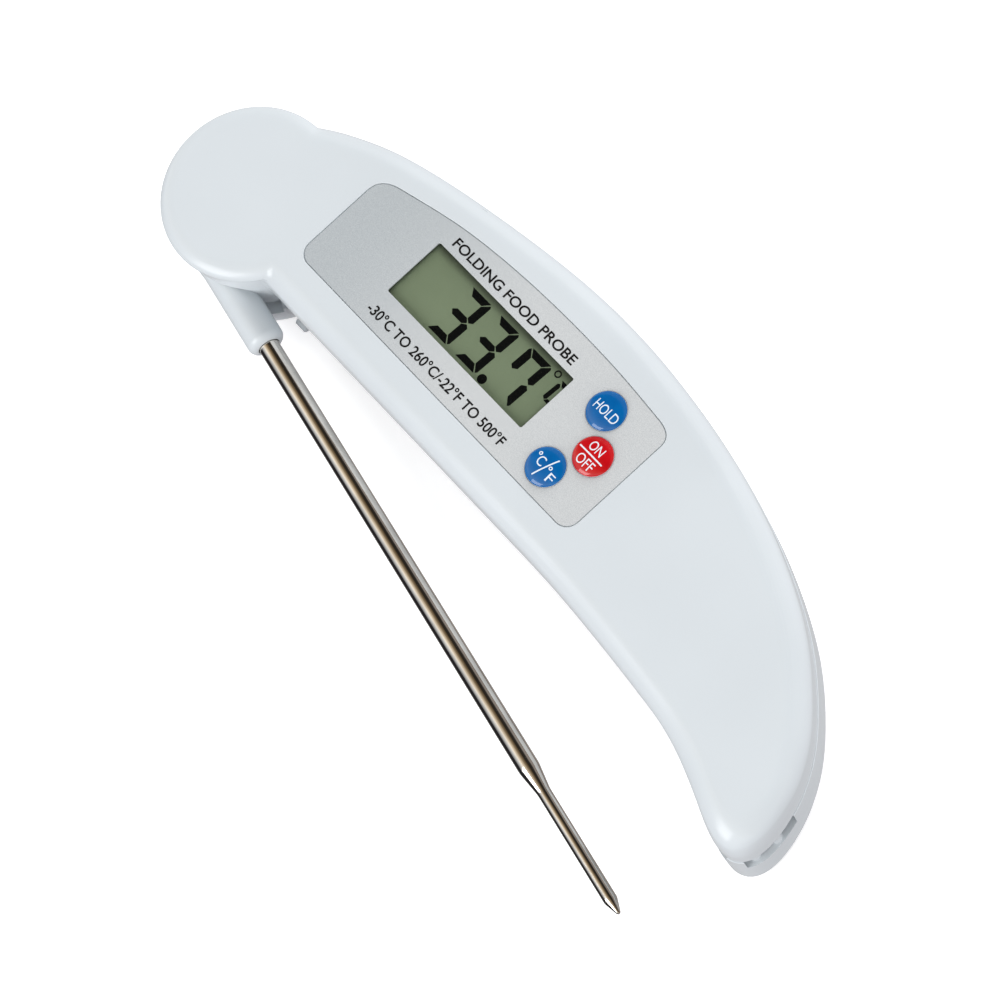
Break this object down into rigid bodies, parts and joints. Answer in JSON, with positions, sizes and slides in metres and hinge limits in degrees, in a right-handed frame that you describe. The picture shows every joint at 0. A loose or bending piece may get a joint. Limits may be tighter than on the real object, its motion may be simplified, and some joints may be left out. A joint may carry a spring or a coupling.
{
  "type": "meat thermometer",
  "caption": "Folding digital food thermometer: curved two-shell handle with display and domed keys, stainless stepped probe on a tangential arm that swings out of the head.",
  "frame": {"origin": "on the flat back of the rear shell, straight under the centre of the display window", "axes": "+X along the handle from the probe's pivot to the tail, +Y towards the convex edge, +Z out of the display face"},
  "size_m": [0.1572, 0.0663, 0.0199],
  "materials": {
    "white_abs": "smooth moulded gloss",
    "silver_film": "satin silver print with fine grain",
    "clear_window": "clear",
    "display_glass": "grey-green liquid crystal display",
    "grey_rubber": "matt",
    "board_laminate": "green solder mask",
    "black_plastic": "matt",
    "screw_steel": "plated",
    "spring_steel": "bright rolled",
    "blue_key": "domed clear resin over print",
    "red_key": "domed clear resin over print",
    "black_rubber": "matt",
    "red_wire": "insulation",
    "black_wire": "insulation",
    "white_wire": "insulation",
    "probe_steel": "drawn and polished stainless"
  },
  "bodies": {
    "casing": {"front_shell": "white_abs", "rear_shell": "white_abs", "label_overlay": "silver_film", "window_lens": "clear_window", "lcd_panel": "display_glass", "lcd_frame": "white_abs", "zebra_strip": "grey_rubber", "circuit_board": "board_laminate", "chip_encapsulant": "black_plastic", "board_screw_1": "screw_steel", "board_screw_2": "screw_steel", "board_screw_3": "screw_steel", "board_screw_4": "screw_steel", "hold_switch": "black_plastic", "power_switch": "black_plastic", "unit_switch": "black_plastic", "case_screw_1": "screw_steel", "case_screw_2": "screw_steel", "case_screw_3": "screw_steel", "case_screw_4": "screw_steel", "pivot_screw": "screw_steel", "pivot_friction_washer": "spring_steel", "battery_holder": "black_plastic", "battery_cell": "screw_steel", "centre_contact": "spring_steel", "edge_contact": "spring_steel", "battery_wire_positive": "red_wire", "battery_wire_negative": "black_wire", "fold_switch": "black_plastic", "hub_lead": "white_wire"},
    "probe": {"probe_arm": "white_abs", "probe_tube": "probe_steel", "probe_seal": "grey_rubber", "thermistor": "black_plastic", "probe_lead": "white_wire"},
    "hold_key": {"hold_button": "blue_key", "hold_switch_plunger": "white_abs"},
    "power_key": {"power_button": "red_key", "power_switch_plunger": "white_abs"},
    "unit_key": {"unit_button": "blue_key", "unit_switch_plunger": "white_abs"},
    "battery_door": {"battery_cover": "white_abs", "battery_cover_seal": "black_rubber"},
    "fold_plunger": {"fold_switch_plunger": "white_abs"}
  },
  "joints": [
    {"name": "probe_fold", "type": "hinge", "parent": "casing", "child": "probe", "pos_m": [-0.0479, -0.0109, 0.008], "axis": [0, 0, -1], "range_deg": [-10.46, 169.54]},
    {"name": "hold_press", "type": "slide", "parent": "casing", "child": "hold_key", "axis": [0, 0, -1], "range_m": [0, 0.0004], "stiffness_N_per_m": 1500, "springref_m": -0.0005},
    {"name": "power_press", "type": "slide", "parent": "casing", "child": "power_key", "axis": [0, 0, -1], "range_m": [0, 0.0004], "stiffness_N_per_m": 1500, "springref_m": -0.0005},
    {"name": "unit_press", "type": "slide", "parent": "casing", "child": "unit_key", "axis": [0, 0, -1], "range_m": [0, 0.0004], "stiffness_N_per_m": 1500, "springref_m": -0.0005},
    {"name": "battery_cover_twist", "type": "hinge", "parent": "casing", "child": "battery_door", "pos_m": [0.05, -0.0031, 0], "axis": [0, 0, 1], "range_deg": [0, 45]},
    {"name": "fold_plunger_press", "type": "slide", "parent": "casing", "child": "fold_plunger", "axis": [0, 1, 0], "range_m": [0, 0.0006], "stiffness_N_per_m": 300, "springref_m": -0.0005}
  ]
}
